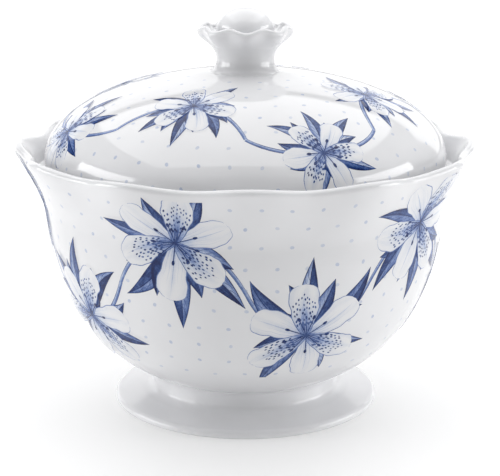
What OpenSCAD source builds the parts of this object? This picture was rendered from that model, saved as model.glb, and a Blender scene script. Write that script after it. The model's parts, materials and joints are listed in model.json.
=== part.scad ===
// Lidded sugar bowl: a deep round bowl with a fluted, outward curling rim on a
// low spreading foot, closed by a domed lid whose knob is a button in a
// scalloped collar. Glazed ceramic, millimetres, +Z up, the axis through the
// middle of the foot and Z = 0 on the table.

/* [Bowl wall] */
// Widest radius of the round wall below the rim
bowl_r = 52.3; // [40:0.1:75]
// Depth of the wall curve below its widest level
bowl_depth = 63; // [40:0.5:90]
// Height of the widest level above the table
bowl_level = 68; // [45:0.5:95]
// Fullness of the outside curve, 2 is an ellipse
bowl_fullness = 2.6; // [2:0.05:4]
// Radius of the hollow
hollow_r = 49; // [36:0.1:70]
// Height of the inside floor above the table
hollow_floor = 12; // [6:0.1:20]
// Fullness of the hollow curve, 2 is an ellipse
hollow_fullness = 3; // [2:0.05:4]

/* [Fluted rim] */
// Height at which the wall begins to curl outward
curl_start = 52.5; // [35:0.5:70]
// Mean height of the outer edge under the lip
edge_level = 67.35; // [50:0.05:95]
// Mean reach of the rim beyond the wall
curl_reach = 6.15; // [2:0.05:15]
// Softness of the start of the curl
curl_soft = 0.3; // [0.05:0.05:1]
// Number of lobes round the rim
rim_lobes = 12; // [6:1:24]
// Half the difference in reach between lobe and hollow
lobe_reach = 1.25; // [0:0.05:4]
// Half the difference in height between lobe and hollow
lobe_rise = 0.6; // [0:0.05:3]
// Turn of the lobes about the axis in degrees
lobe_turn = 1; // [0:0.5:30]
// Thickness of the rim at the lip
lip_thick = 2.2; // [1.2:0.1:4]
// Height of the ledge that carries the lid
ledge_level = 62.8; // [45:0.1:90]

/* [Foot] */
// Height of the joint between bowl and foot
foot_h = 9.2; // [6:0.1:20]
// Smallest radius of the foot
waist_r = 24.7; // [15:0.1:40]
// Height of the waist
waist_level = 5.4; // [3:0.1:15]
// Outside radius of the spread foot
foot_r = 34.9; // [22:0.1:55]
// Thickness of the rolled foot edge
foot_edge = 2.3; // [1.5:0.1:6]
// Radius of the hollow under the bowl at the joint
recess_r = 21; // [10:0.1:35]

/* [Lid] */
// Outside radius of the lid
lid_r = 52; // [38:0.1:72]
// Height of the underside of the lid edge above the table
lid_base = 63.1; // [45:0.1:90]
// Height at which the dome starts
dome_base = 66; // [48:0.1:95]
// Rise of the dome curve
dome_rise = 22; // [8:0.5:40]
// Height of the small flat on top that carries the knob
land_level = 87.6; // [60:0.1:130]
// Thickness of the lid under the knob
lid_thick = 2.9; // [2:0.1:6]
// Fullness of the underside curve
under_fullness = 2.6; // [2:0.05:4]
// Outside radius of the locating flange
flange_r = 48.3; // [34:0.1:69]
// Inside radius of the locating flange
flange_in = 45.8; // [30:0.1:66]
// Depth of the locating flange
flange_deep = 5.6; // [2:0.1:12]

/* [Knob] */
// Radius of the stem where it meets the lid
stem_foot_r = 9.4; // [6:0.1:16]
// Smallest radius of the stem
stem_waist_r = 7.5; // [4:0.1:14]
// Height of the stem waist above the table
stem_waist_level = 90.8; // [70:0.1:130]
// Radius of the stem under the collar
stem_top_r = 9.1; // [5:0.1:15]
// Height of the joint between stem and collar
collar_base = 94.4; // [75:0.1:135]
// Mean radius of the collar
collar_r = 11.95; // [8:0.05:20]
// Mean height of the collar edge
collar_level = 98.4; // [78:0.1:140]
// Number of scallops round the collar
collar_lobes = 8; // [5:1:12]
// Half the difference in radius between scallop and notch
scallop_reach = 0.4; // [0:0.05:2]
// Half the difference in height between notch and scallop
scallop_dip = 0.45; // [0:0.05:2]
// Thickness of the collar edge
collar_edge = 1.6; // [0.6:0.1:3]
// Height of the flat inside the collar
cup_level = 97.4; // [76:0.1:138]
// Radius of the button
button_r = 7.5; // [5:0.1:14]
// Height at which the button is widest
button_level = 98.7; // [78:0.1:140]
// Rise of the button above its widest level
button_rise = 5.4; // [2:0.1:12]

/* [Hidden] */
round_fn = 144;
wall_steps = 120;
collar_steps = 96;
// Direction the rim leans outward, measured from upright
rim_lean = 32;
white = [0.94, 0.95, 0.97];
shade = [0.86, 0.88, 0.92];
pale = [0.90, 0.92, 0.95];

function bez(a, b, c, d, t) =
    a * pow(1 - t, 3) + b * 3 * t * pow(1 - t, 2)
    + c * 3 * t * t * (1 - t) + d * pow(t, 3);

// Radius of a superellipse of radius a and depth b at depth q below its level
function full(a, b, n, q) = a * pow(1 - pow(min(1, max(0, q) / b), n), 1 / n);

function wall_r(z) = full(bowl_r, bowl_depth, bowl_fullness, bowl_level - z);

function lobe(phi) = cos(rim_lobes * (phi - lobe_turn));

function edge_z(phi) = edge_level + lobe_rise * lobe(phi);

function curl(s) =
    s <= 0 ? 0
    : (sqrt(s * s + curl_soft * curl_soft) - curl_soft)
      / (sqrt(1 + curl_soft * curl_soft) - curl_soft);

// Outside of the rim at share s of the way from the curl start to the edge
function rim_out(s, phi) =
    let (z = curl_start + s * (edge_z(phi) - curl_start))
    [wall_r(z) + curl(s) * (curl_reach + lobe_reach * lobe(phi)), z];

lean_in = [-cos(rim_lean), sin(rim_lean)];

// Share s at which the inside of the rim meets the ledge
function ledge_s(phi) =
    (ledge_level - lip_thick * lean_in[1] - curl_start) / (edge_z(phi) - curl_start);

function rim_in(s, phi) = rim_out(s, phi) + lip_thick * lean_in;

function lip_point(k, phi) =
    rim_out(1, phi) + lip_thick / 2 * lean_in
    + lip_thick / 2 * [cos(180 * k - rim_lean), sin(180 * k - rim_lean)];

// Sine of a quarter turn spreads the rings evenly along the curve
function hollow_point(k) =
    let (q = (bowl_level - ledge_level)
             + (ledge_level - hollow_floor) * sin(90 * k))
    [full(hollow_r, bowl_level - hollow_floor, hollow_fullness, q), bowl_level - q];

function bowl_profile(phi) = concat(
    [for (k = [0:13])
        let (z = foot_h + (curl_start - foot_h) * (1 - cos(90 * k / 14)))
        [wall_r(z), z]],
    [for (k = [0:9]) rim_out(k / 10, phi)],
    [for (k = [0:5]) lip_point(k / 5, phi)],
    [for (k = [1:3]) rim_in(1 - (1 - ledge_s(phi)) * k / 3, phi)],
    [for (k = [0:10]) hollow_point(k / 11)]
);

// Solid skin through one ring of points per profile step
module skin(rings, steps) {
    count = len(rings[0]);
    cap_top = [0, 0, rings[0][count - 1][1]];
    points = concat(
        [for (j = [0:steps - 1])
            for (p = rings[j])
                [p[0] * cos(360 * j / steps), p[0] * sin(360 * j / steps), p[1]]],
        [cap_top]
    );
    last = len(points) - 1;
    sides = [for (j = [0:steps - 1])
        let (n = (j + 1) % steps)
        for (i = [0:count - 2])
            for (f = [[j * count + i, j * count + i + 1, n * count + i + 1],
                      [j * count + i, n * count + i + 1, n * count + i]])
                f];
    top = [for (j = [0:steps - 1])
        [j * count + count - 1, last, ((j + 1) % steps) * count + count - 1]];
    bottom = [[for (j = [0:steps - 1]) j * count]];
    polyhedron(points, concat(sides, top, bottom), convexity = 6);
}

module bowl_body() {
    color(white)
    skin([for (j = [0:wall_steps - 1]) bowl_profile(360 * j / wall_steps)], wall_steps);
}

module foot_ring() {
    half = foot_edge / 2;
    shoulder = [waist_r + 3.0, foot_edge + 0.9];
    seat_r = foot_r - 3.1;
    joint_r = wall_r(foot_h);
    neck_top = [for (k = [0:6])
        bez([joint_r, foot_h], [joint_r - 1.0, foot_h - 0.45],
            [waist_r, waist_level + 1.9], [waist_r, waist_level], k / 6)];
    neck_low = [for (k = [1:10])
        bez([waist_r, waist_level], [waist_r, waist_level - 1.2],
            [waist_r + 1.0, shoulder[1] + 0.3], shoulder, k / 10)];
    edge = [for (k = [0:10])
        [foot_r - half + half * cos(84 - 174 * k / 10),
         half + half * sin(84 - 174 * k / 10)]];
    under = [for (k = [0:10])
        bez([seat_r, 0], [29.6, 1.6], [recess_r + 1.2, 1.4], [recess_r, foot_h], k / 10)];
    color(white)
    rotate_extrude($fn = round_fn)
    polygon(concat(neck_top, neck_low, edge, under));
}

module lid_dome() {
    corner = 0.6;
    top_k = asin((land_level - dome_base) / dome_rise) / 90;
    rim = [for (k = [0:5])
        [lid_r - corner + corner * cos(-90 + 18 * k),
         lid_base + corner + corner * sin(-90 + 18 * k)]];
    dome = [for (k = [0:28])
        let (a = 90 * top_k * k / 28)
        [lid_r * cos(a), dome_base + dome_rise * sin(a)]];
    under_top = land_level - lid_thick;
    under = [for (k = [0:24])
        let (q = (under_top - lid_base) * cos(90 * k / 24))
        [full(flange_in, under_top - lid_base, under_fullness, q), lid_base + q]];
    color(pale)
    rotate_extrude($fn = round_fn)
    polygon(concat(rim, dome, [[0, land_level]], under));
}

module lid_flange() {
    low = lid_base - flange_deep;
    wall = flange_r - flange_in;
    foot = [for (k = [0:8])
        [flange_in + wall / 2 - wall / 2 * cos(180 * k / 8),
         low + wall / 2 - wall / 2 * sin(180 * k / 8)]];
    color(shade)
    rotate_extrude($fn = round_fn)
    polygon(concat([[flange_in, lid_base]], foot, [[flange_r, lid_base]]));
}

module knob_stem() {
    flare_up = [for (k = [0:10])
        bez([stem_foot_r, land_level], [stem_waist_r + 0.7, land_level + 0.4],
            [stem_waist_r, stem_waist_level - 1.6], [stem_waist_r, stem_waist_level],
            k / 10)];
    flare_out = [for (k = [1:10])
        bez([stem_waist_r, stem_waist_level], [stem_waist_r, stem_waist_level + 1.5],
            [stem_top_r - 1.0, collar_base - 1.1], [stem_top_r, collar_base], k / 10)];
    color(white)
    rotate_extrude($fn = round_fn)
    polygon(concat([[0, land_level]], flare_up, flare_out, [[0, collar_base]]));
}

// Scallops spread outward and dip, so the two waves run against each other
function scallop(phi) = cos(collar_lobes * (phi - lobe_turn));

function collar_profile(phi) =
    let (r = collar_r + scallop_reach * scallop(phi),
         z = collar_level - scallop_dip * scallop(phi),
         half = collar_edge / 2,
         floor_r = button_r + 0.6)
    concat(
        [for (k = [0:8])
            [stem_top_r + (r - stem_top_r) * pow(sin(90 * k / 8), 1.15),
             collar_base + (z - collar_base) * k / 8]],
        [for (k = [1:5])
            [r - half + half * cos(36 * k), z + half * sin(36 * k)]],
        [for (k = [1:2])
            [r - collar_edge + (floor_r - r + collar_edge) * k / 2,
             z + (cup_level - z) * (1 - pow(1 - k / 2, 2))]]
    );

module knob_collar() {
    color(shade)
    skin([for (j = [0:collar_steps - 1]) collar_profile(360 * j / collar_steps)],
         collar_steps);
}

module knob_button() {
    dome = [for (k = [0:18])
        [button_r * cos(5 * k), button_level + button_rise * sin(5 * k)]];
    side = [[button_r - 0.5, cup_level], [button_r - 0.15, cup_level + 0.5]];
    color(pale)
    rotate_extrude($fn = round_fn)
    polygon(concat([[0, cup_level]], side, dome));
}

bowl_body();
foot_ring();
lid_dome();
lid_flange();
knob_stem();
knob_collar();
knob_button();
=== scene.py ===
import json
import math
import random

import bpy
import numpy as np
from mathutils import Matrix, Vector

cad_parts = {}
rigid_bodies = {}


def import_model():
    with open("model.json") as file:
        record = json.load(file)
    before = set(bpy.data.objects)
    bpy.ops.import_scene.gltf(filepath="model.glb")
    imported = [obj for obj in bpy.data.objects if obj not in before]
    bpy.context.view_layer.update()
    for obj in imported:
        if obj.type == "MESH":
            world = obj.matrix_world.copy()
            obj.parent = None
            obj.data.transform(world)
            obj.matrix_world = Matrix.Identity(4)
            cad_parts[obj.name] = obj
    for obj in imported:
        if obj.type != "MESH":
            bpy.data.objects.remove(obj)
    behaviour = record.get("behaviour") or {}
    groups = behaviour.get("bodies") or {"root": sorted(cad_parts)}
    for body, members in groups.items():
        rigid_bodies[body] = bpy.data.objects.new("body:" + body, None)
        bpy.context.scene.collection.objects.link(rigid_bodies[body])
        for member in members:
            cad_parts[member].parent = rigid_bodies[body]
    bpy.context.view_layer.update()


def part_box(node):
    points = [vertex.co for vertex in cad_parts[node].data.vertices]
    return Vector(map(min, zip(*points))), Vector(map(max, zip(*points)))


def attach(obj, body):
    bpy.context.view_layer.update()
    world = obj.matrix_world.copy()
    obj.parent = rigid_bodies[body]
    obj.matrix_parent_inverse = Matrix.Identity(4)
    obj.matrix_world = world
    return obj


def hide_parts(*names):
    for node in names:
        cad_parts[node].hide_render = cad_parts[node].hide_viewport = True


for leftover in list(bpy.data.objects):
    bpy.data.objects.remove(leftover)

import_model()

MM = 0.001
TAU = 2 * math.pi


# ---------------------------------------------------------------- sizes, in millimetres

def low(node, axis):
    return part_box(node)[0][axis] / MM


def high(node, axis):
    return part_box(node)[1][axis] / MM


FOOT_TOP = high("foot_ring", 2)
FOOT_R = high("foot_ring", 0)
LID_R = high("lid_dome", 0)
LID_BASE = low("lid_dome", 2)
LAND = high("lid_dome", 2)
COLLAR_BASE = low("knob_collar", 2)
CUP = low("knob_button", 2)
KNOB_TOP = high("knob_button", 2)
BUTTON_R = high("knob_button", 0)

WALL = dict(radius=52.3, depth=63.0, level=68.0, fullness=2.6)
CURL = dict(start=52.5, edge=67.35, reach=6.13, soft=0.3, lean=math.radians(32))
LOBES = dict(count=12, reach=1.25, rise=0.6, turn=math.radians(1))
LIP = 2.2
LEDGE = 62.8
HOLLOW = dict(radius=49.0, floor=12.0, fullness=3.0)
FOOT = dict(waist=24.7, waist_level=5.4, edge=2.3, recess=21.0, seat=3.1)
DOME = dict(base=66.0, rise=22.0, thick=2.9, corner=0.6, under_fullness=2.6)
FLANGE_IN = 45.8
STEM = dict(foot=9.4, waist=7.5, waist_level=90.8, top=9.1)
SCALLOPS = dict(count=8, radius=11.95, level=98.4, reach=0.4, dip=0.45, edge=1.6)
BUTTON_WIDEST = 98.7


# ---------------------------------------------------------------- the curves of the body

def full(radius, depth, fullness, below):
    """Radius of a superellipse at a depth below its widest level."""
    share = np.clip(np.asarray(below, float) / depth, 0, 1)
    return radius * (1 - share ** fullness) ** (1 / fullness)


def wall_r(z):
    return full(WALL["radius"], WALL["depth"], WALL["fullness"], WALL["level"] - np.asarray(z, float))


def lobe(phi):
    return np.cos(LOBES["count"] * (phi - LOBES["turn"]))


def curl(share):
    soft = CURL["soft"]
    share = np.maximum(share, 0)
    return (np.sqrt(share ** 2 + soft ** 2) - soft) / (math.sqrt(1 + soft ** 2) - soft)


def bowl_outside(mean_z, phi):
    """Radius and height of the bowl's outer face; mean_z is the height without the waves."""
    share = np.maximum(0, (mean_z - CURL["start"]) / (CURL["edge"] - CURL["start"]))
    z = mean_z + share * LOBES["rise"] * lobe(phi)
    r = wall_r(z) + curl(share) * (CURL["reach"] + LOBES["reach"] * lobe(phi))
    return r, z


def bezier(points, t):
    """Point on the Bezier curve of any number of control points, at each t."""
    pts = [np.asarray(p, float) for p in points]
    t = np.asarray(t, float)[..., None]
    order = len(pts) - 1
    return sum(math.comb(order, i) * (1 - t) ** (order - i) * t ** i * p for i, p in enumerate(pts))


def arc(centre, radius, start, end, count):
    """Points of an arc in the profile plane, from start to end in degrees."""
    a = np.radians(np.linspace(start, end, count))
    return [(centre[0] + radius * math.cos(x), centre[1] + radius * math.sin(x)) for x in a]


def bowl_profile(phi):
    """Closed half section of the bowl at one angle, from under the floor to the inside floor."""
    joint_r = float(wall_r(FOOT_TOP))
    points = [(0, FOOT_TOP), (joint_r * 0.8, FOOT_TOP), (joint_r, FOOT_TOP)]
    rise = 1 - np.cos(np.linspace(0, math.pi / 2, 80))
    heights = FOOT_TOP + (CURL["start"] - FOOT_TOP) * rise
    heights = np.concatenate([heights[1:], np.linspace(CURL["start"], CURL["edge"], 48)[1:]])
    r, z = bowl_outside(heights, phi)
    points += list(zip(r, z))
    edge_r, edge_z = points[-1]
    inward = np.array([-math.cos(CURL["lean"]), math.sin(CURL["lean"])])
    lip_centre = (edge_r + LIP / 2 * inward[0], edge_z + LIP / 2 * inward[1])
    lean = math.degrees(CURL["lean"])
    points += arc(lip_centre, LIP / 2, -lean, 180 - lean, 15)[1:]
    # the inside of the rim follows the outside down to the ledge, with a soft corner there
    ledge_mean = LEDGE + 0.5 - LIP * inward[1]
    ledge_mean -= (ledge_mean - CURL["start"]) / 15 * LOBES["rise"] * float(lobe(phi))
    r, z = bowl_outside(np.linspace(CURL["edge"], ledge_mean, 12)[1:], phi)
    points += list(zip(r + LIP * inward[0], z + LIP * inward[1]))
    corner = np.array(points[-1])
    points += [tuple(bezier([corner, corner - (0.12, 0.5), (corner[0] - 0.7, LEDGE)], t)[0])
               for t in ([0.4], [0.7], [1.0])]
    mouth = HOLLOW["radius"]
    points += [(mouth + 1.6, LEDGE)] + arc((mouth + 0.5, LEDGE - 0.55), 0.55, 90, 180, 5)
    depth = WALL["level"] - HOLLOW["floor"]
    sweep = np.sin(np.linspace(0.03, 1, 46) * math.pi / 2)
    below = WALL["level"] - LEDGE + (LEDGE - HOLLOW["floor"]) * sweep
    r = full(mouth, depth, HOLLOW["fullness"], below)
    points += [(a, WALL["level"] - b) for a, b in zip(r, below) if WALL["level"] - b < LEDGE - 0.6]
    return points[:-1] + [(0, HOLLOW["floor"])]


def foot_profile(_phi):
    waist, waist_z, edge, recess = FOOT["waist"], FOOT["waist_level"], FOOT["edge"], FOOT["recess"]
    joint_r = float(wall_r(FOOT_TOP))
    shoulder = (waist + 3.0, edge + 0.9)
    top = bezier([(joint_r, FOOT_TOP), (joint_r - 1.0, FOOT_TOP - 0.45), (waist, waist_z + 1.9),
                  (waist, waist_z)], np.linspace(0, 1, 20))
    low_neck = bezier([(waist, waist_z), (waist, waist_z - 1.2), (waist + 1.0, shoulder[1] + 0.3),
                       shoulder], np.linspace(0, 1, 18)[1:])
    spread = bezier([shoulder, (shoulder[0] + 2.0, shoulder[1] - 0.56),
                     (FOOT_R - edge / 2 - 1.6, edge + 0.10),
                     (FOOT_R - edge / 2 + 0.15, edge)], np.linspace(0, 1, 12)[1:])
    rolled = arc((FOOT_R - edge / 2, edge / 2), edge / 2, 80, -90, 20)
    seat = FOOT_R - FOOT["seat"]
    under = bezier([(seat, 0), (seat - 2.0, 1.6), (recess + 1.2, 1.4), (recess, FOOT_TOP)],
                   np.linspace(0, 1, 20))
    return ([tuple(p) for p in top] + [tuple(p) for p in low_neck] + [tuple(p) for p in spread]
            + rolled[1:] + [tuple(p) for p in under])


def dome_profile(_phi):
    corner = DOME["corner"]
    edge = arc((LID_R - corner, LID_BASE + corner), corner, -90, 0, 8)
    top = math.asin((LAND - DOME["base"]) / DOME["rise"])
    a = np.linspace(0, top, 110)
    dome = list(zip(LID_R * np.cos(a), DOME["base"] + DOME["rise"] * np.sin(a)))
    apex = LAND - DOME["thick"]
    share = np.cos(np.linspace(0, math.pi / 2, 40))
    r = full(FLANGE_IN, apex - LID_BASE, DOME["under_fullness"], (apex - LID_BASE) * share)
    inside = list(zip(r, LID_BASE + (apex - LID_BASE) * share))
    return edge + dome + [(0, LAND), (0, apex)] + inside[1:]


def flange_profile(_phi):
    outer, deep = high("lid_flange", 0), LID_BASE - low("lid_flange", 2)
    half = (outer - FLANGE_IN) / 2
    rim = arc((FLANGE_IN + half, LID_BASE - deep + half), half, -180, 0, 14)
    return [(FLANGE_IN, LID_BASE)] + rim + [(outer, LID_BASE - 0.35), (outer + 0.3, LID_BASE)]


def stem_profile(_phi):
    foot_r, waist, waist_z, top_r = STEM["foot"], STEM["waist"], STEM["waist_level"], STEM["top"]
    t = np.linspace(0, 1, 20)
    lower = bezier([(foot_r, LAND), (waist + 0.7, LAND + 0.4), (waist, waist_z - 1.6),
                    (waist, waist_z)], t)
    upper = bezier([(waist, waist_z), (waist, waist_z + 1.5), (top_r - 1.0, COLLAR_BASE - 1.1),
                    (top_r, COLLAR_BASE)], t[1:])
    return [(0, LAND)] + [tuple(p) for p in lower] + [tuple(p) for p in upper] + [(0, COLLAR_BASE)]


def collar_profile(phi):
    wave = math.cos(SCALLOPS["count"] * (phi - LOBES["turn"]))
    r = SCALLOPS["radius"] + SCALLOPS["reach"] * wave
    z = SCALLOPS["level"] - SCALLOPS["dip"] * wave
    stem_top, half = STEM["top"], SCALLOPS["edge"] / 2
    share = np.linspace(0, 1, 22)
    outside_r = stem_top + (r - stem_top) * np.sin(share * math.pi / 2) ** 1.15
    outside = list(zip(outside_r, COLLAR_BASE + (z - COLLAR_BASE) * share))
    lip = arc((r - half, z), half, 0, 180, 12)[1:]
    floor_r = BUTTON_R + 0.6
    share = np.linspace(0, 1, 10)[1:]
    inside = list(zip(r - 2 * half + (floor_r - r + 2 * half) * share,
                      z + (CUP - z) * (1 - (1 - share) ** 2)))
    return [(0, COLLAR_BASE)] + outside + lip + inside + [(0, CUP)]


def button_profile(_phi):
    a = np.linspace(0, math.pi / 2, 28)
    dome = list(zip(BUTTON_R * np.cos(a), BUTTON_WIDEST + (KNOB_TOP - BUTTON_WIDEST) * np.sin(a)))
    dome[-1] = (0, KNOB_TOP)
    return [(0, CUP), (BUTTON_R - 0.5, CUP), (BUTTON_R - 0.15, CUP + 0.5)] + dome


# ---------------------------------------------------------------- materials

def node_tree(name):
    material = bpy.data.materials.new(name)
    material.use_nodes = True
    tree = material.node_tree
    tree.nodes.clear()
    return material, tree


def add(tree, kind, **settings):
    """A node with its settings; a key that names an input socket sets that socket."""
    node = tree.nodes.new(kind)
    for key, value in settings.items():
        if hasattr(node, key):
            setattr(node, key, value)
        else:
            node.inputs[key.replace("_", " ")].default_value = value
    return node


def maths(tree, operation, a, b=None, clamp=False):
    node = tree.nodes.new("ShaderNodeMath")
    node.operation = operation
    node.use_clamp = clamp
    for socket, value in zip(node.inputs, (a, b)):
        if value is None:
            continue
        if isinstance(value, (int, float)):
            socket.default_value = value
        else:
            tree.links.new(value, socket)
    return node.outputs[0]


def ramp(tree, factor, stops):
    node = tree.nodes.new("ShaderNodeValToRGB")
    elements = node.color_ramp.elements
    while len(elements) > 1:
        elements.remove(elements[-1])
    elements[0].position = stops[0][0]
    elements[0].color = (*stops[0][1], 1)
    for position, colour in stops[1:]:
        elements.new(position).color = (*colour, 1)
    tree.links.new(factor, node.inputs[0])
    return node.outputs[0]


WHITE = np.array([0.717, 0.719, 0.733])
GLAZE_IOR = 1.52
INKED_IOR = 1.39    # a weaker gloss over the print, which keeps the ink dark
# ink colours, from the bare white to the darkest line
INK = (
    (0.0, (0.72, 0.722, 0.736)),
    (0.15, (0.575, 0.605, 0.675)),
    (0.35, (0.325, 0.395, 0.575)),
    (0.55, (0.125, 0.19, 0.40)),
    (0.75, (0.040, 0.083, 0.24)),
    (0.9, (0.008, 0.030, 0.135)),
    (1.0, (0.003, 0.010, 0.07)),
)


def glaze(name, inked=False, pale=1.0):
    """White body under a clear gloss glaze, with blue print under the glaze where the mesh has tone."""
    material, tree = node_tree(name)
    link = tree.links.new
    place = add(tree, "ShaderNodeTexCoord").outputs["Object"]
    cloud = add(tree, "ShaderNodeTexNoise", Scale=55.0, Detail=3.0, Roughness=0.55)
    link(place, cloud.inputs["Vector"])
    # pale above 1 paints the white body lighter: painted light, used on the foot and the button
    white = ramp(tree, cloud.outputs[0], ((0.3, WHITE * pale * 0.976), (0.7, WHITE * pale * 1.024)))
    colour = white
    if inked:
        tone = add(tree, "ShaderNodeAttribute", attribute_name="tone").outputs["Fac"]
        hatch = add(tree, "ShaderNodeAttribute", attribute_name="hatch").outputs["Fac"]
        run = add(tree, "ShaderNodeAttribute", attribute_name="run").outputs["Vector"]
        streak = add(tree, "ShaderNodeTexNoise", Scale=1.0, Detail=2.5, Roughness=0.6)
        link(run, streak.inputs["Vector"])
        wash = add(tree, "ShaderNodeTexNoise", Scale=420.0, Detail=4.0, Roughness=0.62)
        link(place, wash.inputs["Vector"])
        grain = add(tree, "ShaderNodeTexNoise", Scale=2600.0, Detail=1.0, Roughness=0.5)
        link(place, grain.inputs["Vector"])
        swing = maths(tree, "MULTIPLY", maths(tree, "SUBTRACT", streak.outputs[0], 0.5), hatch)
        pool = maths(tree, "MULTIPLY", maths(tree, "SUBTRACT", wash.outputs[0], 0.5), 0.55)
        speck = maths(tree, "MULTIPLY", maths(tree, "SUBTRACT", grain.outputs[0], 0.5), 0.25)
        spread = maths(tree, "MULTIPLY", maths(tree, "ADD", pool, speck),
                       maths(tree, "MULTIPLY", tone, 2.2, clamp=True))
        amount = maths(tree, "ADD", maths(tree, "ADD", tone, maths(tree, "MULTIPLY", swing, 1.6)),
                       spread, clamp=True)
        blue = ramp(tree, amount, INK)
        mix = tree.nodes.new("ShaderNodeMix")
        mix.data_type = "RGBA"
        link(maths(tree, "MULTIPLY", amount, 14.0, clamp=True), mix.inputs["Factor"])
        link(white, mix.inputs["A"])
        link(blue, mix.inputs["B"])
        colour = mix.outputs["Result"]
    ripple = add(tree, "ShaderNodeTexNoise", Scale=130.0, Detail=1.5, Roughness=0.4)
    link(place, ripple.inputs["Vector"])
    bump = add(tree, "ShaderNodeBump", Strength=0.05, Distance=0.0004)
    link(ripple.outputs[0], bump.inputs["Height"])
    smear = add(tree, "ShaderNodeTexNoise", Scale=240.0, Detail=3.0, Roughness=0.6)
    link(place, smear.inputs["Vector"])
    rough = tree.nodes.new("ShaderNodeMapRange")
    rough.inputs["To Min"].default_value = 0.05
    rough.inputs["To Max"].default_value = 0.11
    link(smear.outputs[0], rough.inputs["Value"])
    shader = add(tree, "ShaderNodeBsdfPrincipled", IOR=INKED_IOR if inked else GLAZE_IOR)
    link(colour, shader.inputs["Base Color"])
    link(rough.outputs[0], shader.inputs["Roughness"])
    link(bump.outputs[0], shader.inputs["Normal"])
    output = tree.nodes.new("ShaderNodeOutputMaterial")
    link(shader.outputs[0], output.inputs["Surface"])
    return material


GLAZE = glaze("white_glaze")
# the foot and the button are painted a little paler: painted light, which brings up their brightness where
# the lamps leave them grey
PAINTED_LIGHT_GLAZE = glaze("white_glaze_painted_light", pale=1.11)
PRINT = glaze("blue_print_under_glaze", inked=True)


# ---------------------------------------------------------------- the formed pieces

def mesh_object(name, points, faces, material):
    mesh = bpy.data.meshes.new(name)
    mesh.from_pydata([tuple(p) for p in points], [], faces)
    mesh.materials.append(material)
    mesh.polygons.foreach_set("use_smooth", [True] * len(mesh.polygons))
    mesh.update()
    piece = bpy.data.objects.new(name, mesh)
    bpy.context.scene.collection.objects.link(piece)
    return piece


def turned(name, profile, steps, node, body, material=GLAZE):
    """Turns a half section round the axis, with the section allowed to change with the angle."""
    sections = [profile(TAU * j / steps) for j in range(steps)]
    count = len(sections[0])
    points = []
    index = np.zeros((steps, count), int)
    for i in range(count):
        on_axis = sections[0][i][0] < 1e-6
        for j, section in enumerate(sections):
            if on_axis and j:
                index[j, i] = index[0, i]
                continue
            r, z = section[i]
            a = TAU * j / steps
            index[j, i] = len(points)
            points.append((r * math.cos(a) * MM, r * math.sin(a) * MM, z * MM))
    closed = sections[0][0][0] > 1e-6
    faces = []
    for j in range(steps):
        k = (j + 1) % steps
        for i in range(count if closed else count - 1):
            n = (i + 1) % count
            corners = [index[j, i], index[k, i], index[k, n], index[j, n]]
            face = list(dict.fromkeys(int(c) for c in corners))
            if len(face) > 2:
                faces.append(face)
    piece = mesh_object(name, points, faces, material)
    piece.data.set_sharp_from_angle(angle=math.radians(42))
    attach(piece, body)
    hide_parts(node)


turned("bowl_glazed", bowl_profile, 480, "bowl_body", "bowl")
# the foot and the button take the white painted paler, as painted light
turned("foot_glazed", foot_profile, 256, "foot_ring", "bowl", PAINTED_LIGHT_GLAZE)
turned("lid_glazed", dome_profile, 384, "lid_dome", "lid")
turned("flange_glazed", flange_profile, 256, "lid_flange", "lid")
turned("stem_glazed", stem_profile, 160, "knob_stem", "lid")
turned("collar_glazed", collar_profile, 256, "knob_collar", "lid")
turned("button_glazed", button_profile, 144, "knob_button", "lid", PAINTED_LIGHT_GLAZE)


# ---------------------------------------------------------------- drawing planes on the turned faces

CELL = 2.0          # side of the squares in which layers are counted
FIRST_LIFT = 0.015
LAYER = 0.006
BOWL_PRINT = (18.0, 66.7)
LID_PRINT = (66.3, 87.35)


def lid_face(t, _phi):
    return LID_R * np.cos(t), DOME["base"] + DOME["rise"] * np.sin(t)


class Skin:
    """A turned face that print lies on, measured in millimetres up its section."""

    def __init__(self, face, first, last, heights, domed):
        self.face, self.t, self.domed = face, np.linspace(first, last, 1200), domed
        quiet = LOBES["turn"] + math.pi / 2 / LOBES["count"]
        self.r, self.z = face(self.t, quiet)
        self.s = np.concatenate([[0], np.cumsum(np.hypot(np.diff(self.r), np.diff(self.z)))])
        self.limits = self.along(heights[0]), self.along(heights[1])

    def along(self, z):
        return np.interp(z, self.z, self.s)

    def girth(self, s):
        return np.interp(s, self.s, self.r)

    def place(self, t, phi):
        r, z = self.face(t, phi)
        return np.stack([r * np.cos(phi), r * np.sin(phi), z + 0 * phi], axis=-1)

    def spot(self, phi, s, lift):
        """Points of the face raised by lift, and the outward direction at each."""
        t = np.interp(s, self.s, self.t)
        here = self.place(t, phi)
        upward = self.place(t + 1e-4, phi) - here
        onward = self.place(t, phi + 1e-4) - here
        out = np.cross(onward, upward)
        out /= np.linalg.norm(out, axis=-1, keepdims=True)
        return here + out * lift, out


class Patch:
    """A flat drawing plane laid on a skin: x to the right, y up, in millimetres.

    It is centred az degrees to the right of the front, at height z.
    """

    def __init__(self, skin, az, z):
        self.skin, self.az, self.s = skin, math.radians(az), float(skin.along(z))

    def at(self, az, z):
        """The plane's point at a height, so many degrees to the right of its middle."""
        turn, s = math.radians(az), float(self.skin.along(z))
        if self.skin.domed:
            crown = self.skin.s[-1]
            reach = crown - s
            return np.array([reach * math.sin(turn), crown - self.s - reach * math.cos(turn)])
        return np.array([turn * float(self.skin.girth(s)), s - self.s])

    def onto(self, xy):
        """Angles round the axis and lengths up the section for points of the plane."""
        x, y = xy[:, 0], xy[:, 1]
        if self.skin.domed:
            crown = self.skin.s[-1]
            depth = crown - self.s - y
            az, s = self.az + np.arctan2(x, depth), crown - np.hypot(x, depth)
        else:
            s = self.s + y
            az = self.az + x / self.skin.girth(s)
        return az, s


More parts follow.
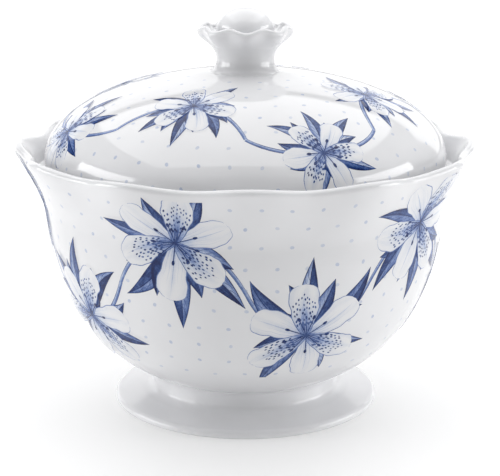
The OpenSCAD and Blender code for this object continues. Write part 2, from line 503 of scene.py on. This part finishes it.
class Sheet:
    """Ink for one piece: every layer of it lies just clear of the layers it covers."""

    def __init__(self, skin):
        self.skin = skin
        self.levels = {}
        self.count = 0
        self.points, self.outward, self.faces = [], [], []
        self.tone, self.hatch, self.run = [], [], []

    def lay(self, patch, *cuts):
        spots = [patch.onto(cut[0]) for cut in cuts]
        cells = set()
        for az, s in spots:
            around = np.floor(np.mod(az, TAU) * self.skin.girth(s) / CELL).astype(int)
            upward = np.floor(s / CELL).astype(int)
            cells |= set(zip(around.tolist(), upward.tolist()))
        level = 1 + max((self.levels.get(cell, 0) for cell in cells), default=0)
        self.levels.update(dict.fromkeys(cells, level))
        for cut, (az, s) in zip(cuts, spots):
            self.add(cut, az, s, FIRST_LIFT + LAYER * level)

    def add(self, cut, az, s, lift):
        xy, faces, tone, hatch, run = cut
        lowest, highest = self.skin.limits
        inside = (s > lowest) & (s < highest)
        loops = xy[faces]
        follow = np.roll(loops, -1, axis=1)
        area = (loops[..., 0] * follow[..., 1] - follow[..., 0] * loops[..., 1]).sum(axis=1)
        faces = np.where((area > 0)[:, None], faces, faces[:, ::-1])
        faces = faces[(np.abs(area) > 1e-5) & inside[faces].any(axis=1)]
        points, out = self.skin.spot(az - math.pi / 2, np.clip(s, lowest, highest), lift)
        self.points.append(points)
        self.outward.append(out)
        self.faces += (faces + self.count).tolist()
        self.count += len(points)
        self.tone.append(np.broadcast_to(tone, len(xy)))
        self.hatch.append(np.broadcast_to(hatch, len(xy)))
        self.run.append(np.broadcast_to(run, (len(xy), 3)))

    def piece(self, name, body):
        piece = mesh_object(name, np.concatenate(self.points) * MM, self.faces, PRINT)
        mesh = piece.data
        for title, parts in (("tone", self.tone), ("hatch", self.hatch)):
            field = mesh.attributes.new(title, "FLOAT", "POINT")
            field.data.foreach_set("value", np.concatenate(parts).astype(np.float32))
        field = mesh.attributes.new("run", "FLOAT_VECTOR", "POINT")
        field.data.foreach_set("vector", np.concatenate(self.run).astype(np.float32).ravel())
        mesh.normals_split_custom_set_from_vertices(np.concatenate(self.outward).tolist())
        piece.visible_shadow = False
        piece.visible_diffuse = False
        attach(piece, body)


# ---------------------------------------------------------------- marks: lines, dots and filled shapes

def course(*control, step=0.4):
    """Points along a Bezier curve, about a step apart."""
    rough = bezier(control, np.linspace(0, 1, 12))
    length = np.hypot(*np.diff(rough, axis=0).T).sum()
    return bezier(control, np.linspace(0, 1, max(6, int(length / step) + 2)))


def sideways(points):
    ahead = np.gradient(points, axis=0)
    ahead /= np.maximum(np.hypot(ahead[:, 0], ahead[:, 1]), 1e-9)[:, None]
    return np.stack([-ahead[:, 1], ahead[:, 0]], axis=1)


def unit(angle):
    return np.array([math.cos(math.radians(angle)), math.sin(math.radians(angle))])


def line(points, width, tone, ends=(0.35, 0.25)):
    """A fine inked line, thinner towards its ends."""
    points = np.asarray(points, float)
    count = len(points)
    t = np.linspace(0, 1, count)
    taper = np.minimum(1, np.minimum(ends[0] + t * 4, ends[1] + (1 - t) * 4))
    across = sideways(points) * (width / 2 * taper)[:, None]
    i = np.arange(count - 1)
    faces = np.stack([i, i + 1, i + 1 + count, i + count], axis=1)
    tone = np.broadcast_to(tone, count)
    return np.concatenate([points + across, points - across]), faces, np.tile(tone, 2), 0.0, 0.0


def dot(centre, length, width, turn, tone):
    """A small filled oval."""
    a = np.linspace(0, TAU, 8, endpoint=False)
    ahead = unit(turn)
    aside = np.array([-ahead[1], ahead[0]])
    xy = centre + np.outer(np.cos(a) * length, ahead) + np.outer(np.sin(a) * width, aside)
    return xy, np.arange(8)[None], tone, 0.0, 0.0


def smooth(x, low_end, high_end):
    t = np.clip((x - low_end) / (high_end - low_end), 0, 1)
    return t * t * (3 - 2 * t)


COLUMNS = np.array([-1, -0.93, -0.75, -0.5, -0.25, -0.04, 0.04, 0.25, 0.5, 0.75, 0.93, 1])


class Shape:
    """A leaf, petal or stem: a spine with a half width on each side of it."""

    def __init__(self, spine, left, right):
        self.spine, self.side = spine, sideways(spine)
        self.t = np.linspace(0, 1, len(spine))
        self.left, self.right = left(self.t), right(self.t)
        self.length = np.hypot(*np.diff(spine, axis=0).T).sum()

    def read(self, values, t):
        return np.interp(t, self.t, values)

    def at(self, t, c):
        """Plane points a share t along, and c across from -1 at the right edge to 1 at the left."""
        t, c = np.broadcast_arrays(np.asarray(t, float), np.asarray(c, float))
        half = np.where(c < 0, self.read(self.right, t), self.read(self.left, t)) * c
        x = self.read(self.spine[:, 0], t) + self.read(self.side[:, 0], t) * half
        y = self.read(self.spine[:, 1], t) + self.read(self.side[:, 1], t) * half
        return np.stack([x, y], axis=-1)

    def heading(self, t):
        side = [float(self.read(self.side[:, axis], t)) for axis in (0, 1)]
        return math.degrees(math.atan2(-side[0], side[1]))

    def fill(self, tone, hatch=0.0, streak=2.2, columns=COLUMNS):
        u = np.linspace(0, 1, max(8, int(self.length / 0.8)) + 1)
        t = 0.5 * u + 0.25 * (1 - np.cos(math.pi * u))
        wide = max(self.left.max(), self.right.max())
        parts = [np.linspace(a, b, int((b - a) * wide / 0.8) + 1, endpoint=False)
                 for a, b in zip(columns[:-1], columns[1:])]
        columns = np.concatenate(parts + [[1]])
        grid_t, grid_c = np.meshgrid(t, columns, indexing="ij")
        seed = random.uniform(0, 90)
        run = np.stack([grid_t * self.length * 0.14 + seed, grid_c * wide * streak,
                        seed + 0 * grid_t], axis=-1)
        rows, cols = grid_t.shape
        i = (np.arange(rows - 1)[:, None] * cols + np.arange(cols - 1)).ravel()
        faces = np.stack([i, i + cols, i + cols + 1, i + 1], axis=1)
        value = tone(grid_t, grid_c) + 0 * grid_t
        hatch = hatch(grid_t, grid_c) if callable(hatch) else hatch
        hatch = np.broadcast_to(hatch, grid_t.shape).ravel()
        return self.at(grid_t, grid_c).reshape(-1, 2), faces, value.ravel(), hatch, run.reshape(-1, 3)

    def trace(self, c, width, tone, start=0.0, end=1.0):
        """A line inside the shape at a steady share across, or along its edge."""
        count = max(6, int(self.length * (end - start) / 0.7) + 2)
        t = np.linspace(start, end, count)
        value = tone(np.linspace(0, 1, count)) if callable(tone) else tone
        return line(self.at(t, np.broadcast_to(c, count)), width, value)


def fade(start, end, power=1.0):
    return lambda t: start + (end - start) * t ** power


def bowed(start, tip, bend, late):
    """A spine from start to tip that bows to its left by a share of its length."""
    start, tip = np.asarray(start, float), np.asarray(tip, float)
    reach = tip - start
    side = np.array([-reach[1], reach[0]]) * bend
    return course(start, start + reach * 0.35 + side, start + reach * late + side, tip)


# ---------------------------------------------------------------- leaves, petals and stems

LEAF_VEINS = 6
PETAL_EDGE = 0.42
PETAL_VEINS = 5
SPECK_ROWS = 9
SPECK_GAP = 1.35


def leaf(sheet, patch, start, tip, half, bend, upper, lower):
    """A lance-shaped leaf, one half in the light; the left half is the upper tone."""
    def swell(t):
        return half * (0.12 * (1 - t) ** 3 + np.sin(math.pi * t ** 0.82) ** 1.05)

    shape = Shape(bowed(start, tip, bend, late=0.7), swell, swell)

    def tone(t, c):
        lit = smooth(c, -0.03, 0.03)
        value = lower + (upper - lower) * lit
        value = value + 0.18 * np.abs(c) ** 4 + 0.14 * smooth(t, 0.72, 1.0) + 0.14 * smooth(-t, -0.25, 0)
        return value - 0.12 * np.exp(-((c - 0.35) / 0.2) ** 2) * np.sin(math.pi * t)

    sheet.lay(patch, shape.fill(tone, hatch=0.34))
    strong = min(0.97, max(upper, lower) + 0.14)
    marks = [shape.trace(1, 0.22, strong), shape.trace(-1, 0.22, strong),
             shape.trace(0, 0.24, strong, 0.02, 0.96)]
    for k in range(LEAF_VEINS):
        t = np.linspace(0.12 + 0.7 * k / LEAF_VEINS, 0.30 + 0.66 * k / LEAF_VEINS, 7)
        for hand in (-1, 1):
            c = hand * np.linspace(0.04, 0.85, 7) ** 0.8
            marks.append(line(shape.at(t, c), 0.10, strong - 0.05))
    sheet.lay(patch, *marks)


def petal(sheet, patch, base, tip, half, bend, throat, spots):
    """A broad pale petal: deep at the throat, ruffled at the edge, sometimes speckled.

    The throat is how deep its colour starts, and spots is the share of specks that are kept.
    """
    wave = [random.uniform(0, TAU) for _ in range(4)]

    def swell(hand):
        def width(t):
            body = (0.10 + t ** 0.75) * np.sqrt(np.clip(1 - t ** 3.2, 0, 1)) / 0.84
            wavy = np.sin(TAU * 1.7 * t + wave[hand]) + 0.45 * np.sin(TAU * 4.3 * t + wave[hand + 2])
            return half * body * (1 + 0.07 * wavy * smooth(t, 0.1, 0.5))
        return width

    shape = Shape(bowed(base, tip, bend, late=0.75), swell(0), swell(1))
    sway = random.uniform(-0.3, 0.3)

    def tone(t, c):
        deep = throat * np.exp(-(t / 0.30) ** 1.7) * (1 - 0.35 * np.abs(c))
        rib = 0.07 * np.exp(-((c - sway * 0.2) / 0.14) ** 2) * smooth(t, 0.0, 0.2) * smooth(-t, -0.9, -0.4)
        rim = 0.07 * np.abs(c) ** 9 * smooth(t, 0.1, 0.3)
        pleat = 0.026 * (1 + np.sin(7 * c + 4 * t + wave[0])) * smooth(t, 0.15, 0.6)
        if spots:
            pleat = pleat + 0.26 * np.exp(-(c / 0.5) ** 2) * np.exp(-(t / 0.62) ** 3)
        return deep + rib + rim + pleat

    sheet.lay(patch, shape.fill(tone, hatch=lambda t, c: 0.04 + 0.26 * np.exp(-(t / 0.34) ** 2)))
    marks = [shape.trace(1, 0.20, fade(PETAL_EDGE + 0.32, PETAL_EDGE + 0.06)),
             shape.trace(-1, 0.20, fade(PETAL_EDGE + 0.32, PETAL_EDGE + 0.06)),
             shape.trace(sway * 0.2, 0.16, fade(PETAL_EDGE + 0.2, 0.12), 0.03, 0.9)]
    for k in range(PETAL_VEINS):
        c = -0.8 + 1.6 * (k + 0.5) / PETAL_VEINS + random.uniform(-0.04, 0.04)
        far = random.uniform(0.45, 0.86)
        marks.append(shape.trace(c, 0.11, fade(PETAL_EDGE + 0.1, 0.06, 0.7), 0.03, far))
    sheet.lay(patch, *marks)
    if spots:
        speckle(sheet, patch, shape, spots)


def speckle(sheet, patch, shape, spots):
    """Rows of small dark specks along a petal, finer towards its tip."""
    specks = []
    for k in range(SPECK_ROWS):
        c = -0.76 + 1.52 * k / (SPECK_ROWS - 1)
        reach = 0.78 - 0.22 * abs(c)
        for t in np.arange(0.22 + 0.03 * (k % 2), reach, SPECK_GAP / shape.length):
            if random.random() > spots:
                continue
            spot = shape.at(t + random.uniform(-0.01, 0.01), c + random.uniform(-0.06, 0.06))
            size = random.uniform(0.36, 0.52) * (1.1 - 0.5 * t)
            turn = shape.heading(t) + random.uniform(-14, 14)
            specks.append(dot(spot, size, size * 0.55, turn, random.uniform(0.72, 0.92)))
    sheet.lay(patch, *specks)


STALK_WIDTH = 0.9


def stalk(sheet, patch, *control):
    """A stem with a dark line down each side."""
    def steady(t):
        return STALK_WIDTH / 2 + 0 * t

    shape = Shape(course(*control), steady, steady)
    sheet.lay(patch, shape.fill(lambda t, c: 0.62 - 0.22 * (c > 0.1), hatch=0.25,
                                columns=np.array([-1, -0.3, 0.3, 1])))
    sheet.lay(patch, shape.trace(1, 0.18, 0.85), shape.trace(-1, 0.18, 0.9))


DOT_GAP = 7.4
DOT_ROWS = 5.4
DOT_TONE = 0.2


def lattice(sheet, skin):
    """Small pale dots in staggered rows, all the way round."""
    lowest, highest = skin.limits
    for j, s in enumerate(np.arange(lowest + 1.5, highest - 0.8, DOT_ROWS)):
        z = float(np.interp(s, skin.s, skin.z))
        places = round(360 / math.degrees(DOT_GAP / float(skin.girth(s))))
        step = 360 / places
        for k in range(places):
            patch = Patch(skin, -180 + step * (k + 0.5 * (j % 2)), z)
            turn = random.uniform(0, 180)
            spot = np.array([random.uniform(-0.3, 0.3), random.uniform(-0.3, 0.3)])
            sheet.lay(patch, dot(spot, 0.58, 0.46, turn, DOT_TONE * random.uniform(0.8, 1.15)))


# ---------------------------------------------------------------- a waving stem with flowers and leaves

def fan(middle, width, count):
    """Evenly spaced angles in degrees, spread as far as width about the middle."""
    return np.linspace(middle - width / 2, middle + width / 2, count)


def flower(sheet, patch, heart, size, turn):
    """Six even petals, every other one speckled, round a ring of nine stamens."""
    for first, throat, spots in ((0, 0.36, 0), (60, 0.80, 0.9)):
        for angle in range(first, 360, 120):
            tip = heart + unit(turn + angle) * size * random.uniform(0.94, 1.04)
            petal(sheet, patch, heart, tip, size * 0.30, random.uniform(-0.08, 0.08), throat, spots)
    threads, ends = [], []
    for angle in range(0, 360, 40):
        ahead = unit(turn + angle) * size
        threads.append(line(course(heart, heart + ahead * 0.34), 0.27, 0.88, ends=(0.6, 0.6)))
        ends.append(dot(heart + ahead * 0.36, 0.7, 0.4, turn + angle, 0.92))
    sheet.lay(patch, *threads)
    sheet.lay(patch, *ends)


def spray(sheet, patch, heart, size, middle, width, count):
    """Lance-shaped leaves from one point, short and long by turns."""
    for k, angle in enumerate(fan(middle, width, count)):
        reach = size * (1.0 if k % 2 else 0.72) * random.uniform(0.94, 1.06)
        leaf(sheet, patch, heart, heart + unit(angle) * reach, size * 0.11,
             bend=random.uniform(-0.14, 0.14), upper=random.uniform(0.32, 0.66),
             lower=random.uniform(0.76, 0.88))


def vine(sheet, skin, bends, middle, swing, size):
    """A stem that waves round the axis, a flower on each bend and leaves in each hollow."""
    step = 360 / bends
    for k in range(bends):
        hand = 1 if k % 2 else -1
        p = Patch(skin, step * (k + 0.5), middle)
        crest = middle + hand * swing
        path = [p.at(-step / 2, middle), p.at(-step / 4, crest), p.at(step / 4, crest),
                p.at(step / 2, middle)]
        stalk(sheet, p, *path)
        top = bezier(path, np.array([0.5]))[0]
        spray(sheet, p, top, size * 1.45, -90 * hand, 130, 7)
        spray(sheet, p, top, size * 1.25, 90 * hand, 150, 4)
        flower(sheet, p, top, size, random.uniform(0, 60))


BOWL_SKIN = Skin(bowl_outside, FOOT_TOP, CURL["edge"], BOWL_PRINT, domed=False)
LID_SKIN = Skin(lid_face, 0, math.pi / 2, LID_PRINT, domed=True)
BOWL_SHEET, LID_SHEET = Sheet(BOWL_SKIN), Sheet(LID_SKIN)
BOWL_VINE = dict(bends=10, middle=43, swing=16, size=15)
LID_VINE = dict(bends=8, middle=78, swing=6, size=11)

random.seed(11)
for ink, face, waves in ((BOWL_SHEET, BOWL_SKIN, BOWL_VINE), (LID_SHEET, LID_SKIN, LID_VINE)):
    lattice(ink, face)
    vine(ink, face, **waves)
BOWL_SHEET.piece("bowl_print", "bowl")
LID_SHEET.piece("lid_print", "lid")


# ---------------------------------------------------------------- floor, light and camera

def floor():
    """A plain pale floor that gives off a little light, which keeps it near white."""
    material, tree = node_tree("pale_floor")
    link = tree.links.new
    place = add(tree, "ShaderNodeTexCoord").outputs["Object"]
    cloud = add(tree, "ShaderNodeTexNoise", Scale=3.0, Detail=2.0)
    link(place, cloud.inputs["Vector"])
    colour = ramp(tree, cloud.outputs[0], ((0.2, (0.65, 0.65, 0.65)), (0.8, (0.67, 0.67, 0.67))))
    shader = add(tree, "ShaderNodeBsdfPrincipled", Roughness=0.6, Emission_Strength=0.29)
    shader.inputs["Emission Color"].default_value = (1, 1, 1, 1)
    shader.inputs["Specular IOR Level"].default_value = 0.2
    link(colour, shader.inputs["Base Color"])
    output = tree.nodes.new("ShaderNodeOutputMaterial")
    link(shader.outputs[0], output.inputs["Surface"])
    half = 4.0
    corners = [(-half, -half, 0), (half, -half, 0), (half, half, 0), (-half, half, 0)]
    stage = mesh_object("floor", corners, [[0, 1, 2, 3]], material)


def softbox(name, place, target, size, watts):
    lamp = bpy.data.lights.new(name, "AREA")
    lamp.shape = "RECTANGLE"
    lamp.size, lamp.size_y = size
    lamp.energy = watts
    holder = bpy.data.objects.new(name, lamp)
    holder.location = place
    aim = np.array(target, float) - np.array(place, float)
    yaw = math.atan2(aim[1], aim[0]) - math.pi / 2
    pitch = math.atan2(aim[2], math.hypot(aim[0], aim[1])) + math.pi / 2
    holder.rotation_euler = (pitch, 0, yaw)
    bpy.context.scene.collection.objects.link(holder)


def studio():
    world = bpy.data.worlds.new("studio")
    bpy.context.scene.world = world
    world.use_nodes = True
    background = world.node_tree.nodes["Background"]
    background.inputs["Color"].default_value = (0.97, 0.98, 1.0, 1)
    background.inputs["Strength"].default_value = 0.16
    middle = (0, 0, 0.03)
    softbox("left_softbox", (-0.76, -0.08, 0.17), middle, (0.6, 0.30), 3.0)
    softbox("right_softbox", (0.76, -0.08, 0.17), middle, (0.6, 0.30), 3.0)
    softbox("top_softbox", (0, 0.95, 2.0), (0, 0.95, 0), (3.8, 3.5), 76.0)
    softbox("back_softbox", (0, 2.4, 0.75), (0, 0, 0.2), (4.4, 1.3), 22.0)
    softbox("front_softbox", (0, -1.0, 1.6), (0, -0.1, 0), (2.4, 1.0), 2.0)


def camera():
    """Stands about 0.4 metres away and looks down a little, as a table-top product view does."""
    lens = bpy.data.cameras.new("camera")
    lens.sensor_width = 36.0
    lens.lens = 115.5
    lens.shift_x = 0.009
    lens.clip_start = 0.01
    holder = bpy.data.objects.new("camera", lens)
    holder.location = (0, -0.410, 0.1496)
    holder.rotation_euler = (math.radians(90 - 14.55), 0, 0)
    bpy.context.scene.collection.objects.link(holder)
    bpy.context.scene.camera = holder


floor()
studio()
camera()
bpy.context.scene.view_settings.view_transform = "Standard"


# ---------------------------------------------------------------- box corners as plain lists of numbers

def corners(bounds):
    return [[float(v) for v in corner] for corner in bounds]
